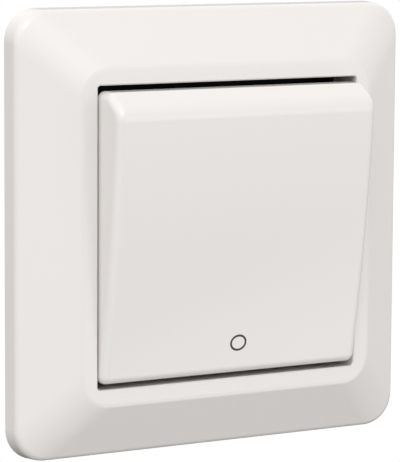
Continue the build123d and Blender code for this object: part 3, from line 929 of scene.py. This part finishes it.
@dataclass
class Camera:
    """The photograph's camera: its place about the device, its lens in pixels and the centre of its image."""

    azimuth: float = -0.5291
    elevation: float = 0.1302
    roll: float = 0.0054
    distance: float = 541.42 * MM
    focal_pixels: float = 2802.06
    centre_pixels: tuple[float, float] = (191.25, 236.1)
    target: Point = (-2.2965 * MM, 0.0, -2.1841 * MM)
    sensor: float = 36.0
    clip: tuple[float, float] = (0.01, 50.0)

    def build(self) -> None:
        """Builds the camera and makes it the scene's."""
        data = bpy.data.cameras.new("camera")
        data.sensor_fit = "AUTO"
        data.sensor_width = self.sensor
        data.lens = self.focal_pixels * self.sensor / IMAGE_HEIGHT
        data.shift_x = (IMAGE_WIDTH / 2 - self.centre_pixels[0]) / IMAGE_HEIGHT
        data.shift_y = (self.centre_pixels[1] - IMAGE_HEIGHT / 2) / IMAGE_HEIGHT
        data.clip_start, data.clip_end = self.clip
        camera = bpy.data.objects.new("camera", data)
        bpy.context.scene.collection.objects.link(camera)
        across = Vector((math.cos(self.azimuth), math.sin(self.azimuth), 0.0))
        level = math.cos(self.elevation)
        outward = (math.sin(self.azimuth) * level, -math.cos(self.azimuth) * level, math.sin(self.elevation))
        back = Vector(outward)
        above = back.cross(across)
        turned = Matrix.Rotation(self.roll, 3, back)
        right, up = turned @ across, turned @ above
        place = Vector(self.target) + back * self.distance
        camera.matrix_world = Matrix(
            (
                (right.x, up.x, back.x, place.x),
                (right.y, up.y, back.y, place.y),
                (right.z, up.z, back.z, place.z),
                (0.0, 0.0, 0.0, 1.0),
            )
        )
        bpy.context.scene.camera = camera


@dataclass(frozen=True)
class Lamp:
    """One soft box: where it stands, its size, its strength in watts, what it faces and its colour."""

    name: str
    place: Point
    size: tuple[float, float]
    power: float
    aim: Point = (0.0, 0.0, 0.0)
    colour: Colour = (1.0, 1.0, 1.0)

    def build(self) -> None:
        """Builds the area lamp."""
        data = bpy.data.lights.new(self.name, "AREA")
        data.shape = "RECTANGLE"
        data.size, data.size_y = self.size
        data.energy = self.power
        data.color = self.colour
        lamp = bpy.data.objects.new(self.name, data)
        bpy.context.scene.collection.objects.link(lamp)
        lamp.location = self.place
        lamp.rotation_euler = (Vector(self.aim) - Vector(self.place)).to_track_quat("-Z", "Y").to_euler()


@dataclass(frozen=True)
class Glow:
    """Part of the surroundings that is bright about a direction in degrees and fades evenly away from it.

    A cut is the normal of a plane through the device, and the glow shows on that side of the plane alone.
    """

    azimuth: float
    elevation: float
    strength: float
    falloff: float = 6.0
    cut: Point | None = None
    softness: float = 0.04

    def light(self, sky: ShaderTree, direction: Socket) -> Socket:
        """Adds this part to the surroundings.

        Args:
            sky: the tree of the surroundings.
            direction: the direction that is looked in.

        Returns:
            The light that comes from that direction.
        """
        turn, rise = math.radians(self.azimuth), math.radians(self.elevation)
        middle = (math.sin(turn) * math.cos(rise), -math.cos(turn) * math.cos(rise), math.sin(rise))
        fade = sky.along(direction, middle) * self.falloff - self.falloff
        light = sky.maths("EXPONENT", fade) * self.strength
        if self.cut:
            light = light * sky.smooth(sky.along(direction, self.cut), -self.softness, self.softness)
        return light


@dataclass
class Studio:
    """Soft surroundings that light the device from all round, a box for its highlights and a white ground."""

    floor_drop: float = 0.25
    extent: float = 3.0
    glows: tuple[Glow, ...] = (
        Glow(0.0, 40.0, 1.07),
        Glow(-50.0, 40.0, 1.67),
        Glow(0.0, -40.0, 0.37),
        Glow(-50.0, -40.0, 0.61),
        Glow(-80.0, 0.0, 0.41),
        Glow(80.0, 0.0, 0.65),
        Glow(-115.0, 30.0, 0.86),
        Glow(115.0, 30.0, 0.98),
        Glow(180.0, 35.0, 1.05),
        Glow(0.0, 85.0, 0.29),
        Glow(0.0, -85.0, 0.12),
        Glow(30.5, 0.0, 1.5, 25.0),
        Glow(42.0, -33.0, 1.8, 16.0, (0.559, 0.657, -0.505)),
    )
    lamps: tuple[Lamp, ...] = (Lamp("key box", (-0.37, -0.68, 0.63), (0.25, 0.25), 1.3),)

    def build(self) -> None:
        """Builds the surroundings, the lamps and the floor."""
        world = bpy.data.worlds.new("surroundings")
        world.use_nodes = True
        bpy.context.scene.world = world
        sky = ShaderTree(world.node_tree)
        direction = sky.node("ShaderNodeTexCoord")["Generated"]
        first, *others = (glow.light(sky, direction) for glow in self.glows)
        light = sky.node("ShaderNodeBackground", Color=WHITE, Strength=sum(others, first))["Background"]
        seen = sky.node("ShaderNodeBackground", Color=WHITE, Strength=1.0)["Background"]
        sky.close(sky.node("ShaderNodeLightPath")["Is Camera Ray"], light, seen, "World Output")
        for lamp in self.lamps:
            lamp.build()
        self._floor()

    def _floor(self) -> bpy.types.Object:
        """Builds the floor, white to a camera above it and clear to the light and from below.

        Returns:
            The floor.
        """
        mesh = bpy.data.meshes.new("floor")
        reach, drop = self.extent, -self.floor_drop
        corners = [(-reach, -reach, drop), (reach, -reach, drop), (reach, reach, drop), (-reach, reach, drop)]
        mesh.from_pydata(corners, [], [(0, 1, 2, 3)])
        floor = link("floor", mesh)
        shader = Shader("white ground")
        seen = shader.node("ShaderNodeEmission", Color=WHITE, Strength=1.0)["Emission"]
        clear = shader.node("ShaderNodeBsdfTransparent")["BSDF"]
        from_above = 1.0 - shader.node("ShaderNodeNewGeometry")["Backfacing"]
        shown = shader.node("ShaderNodeLightPath")["Is Camera Ray"] * from_above
        shader.close(shown, clear, seen, "Material Output")
        floor.data.materials.append(shader.material)
        return floor


def main() -> None:
    """Builds the device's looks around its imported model."""
    logging.basicConfig(level=logging.INFO, format="%(name)s: %(message)s")
    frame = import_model()
    bpy.context.scene.view_settings.view_transform = "Standard"
    palette = Palette().materials()
    PackedPieces(frame["record"], frame["nodes"]).dress(palette)
    springs = (
        CoilSpring(
            "return_coil",
            "return_spring",
            "switch",
            "spring_steel",
            2.2 * MM,
            0.25 * MM,
            5,
            joint="plunger_slide",
            travel=1.5 * MM,
        ),
        CoilSpring("contact_coil", "contact_spring", "plunger", "spring_steel", 1.5 * MM, 0.18 * MM, 4),
    )
    for part in (*springs, ClampLeaf("left"), ClampLeaf("right"), CoverScrews()):
        LOG.info("built %s", part.build(palette).name)
    ink = Ink("dark grey ink", srgb(52, 47, 44)).material()
    LOG.info("built %s", ButtonMark().build(ink).name)
    Camera().build()
    Studio().build()


if __name__ == "__main__":
    main()
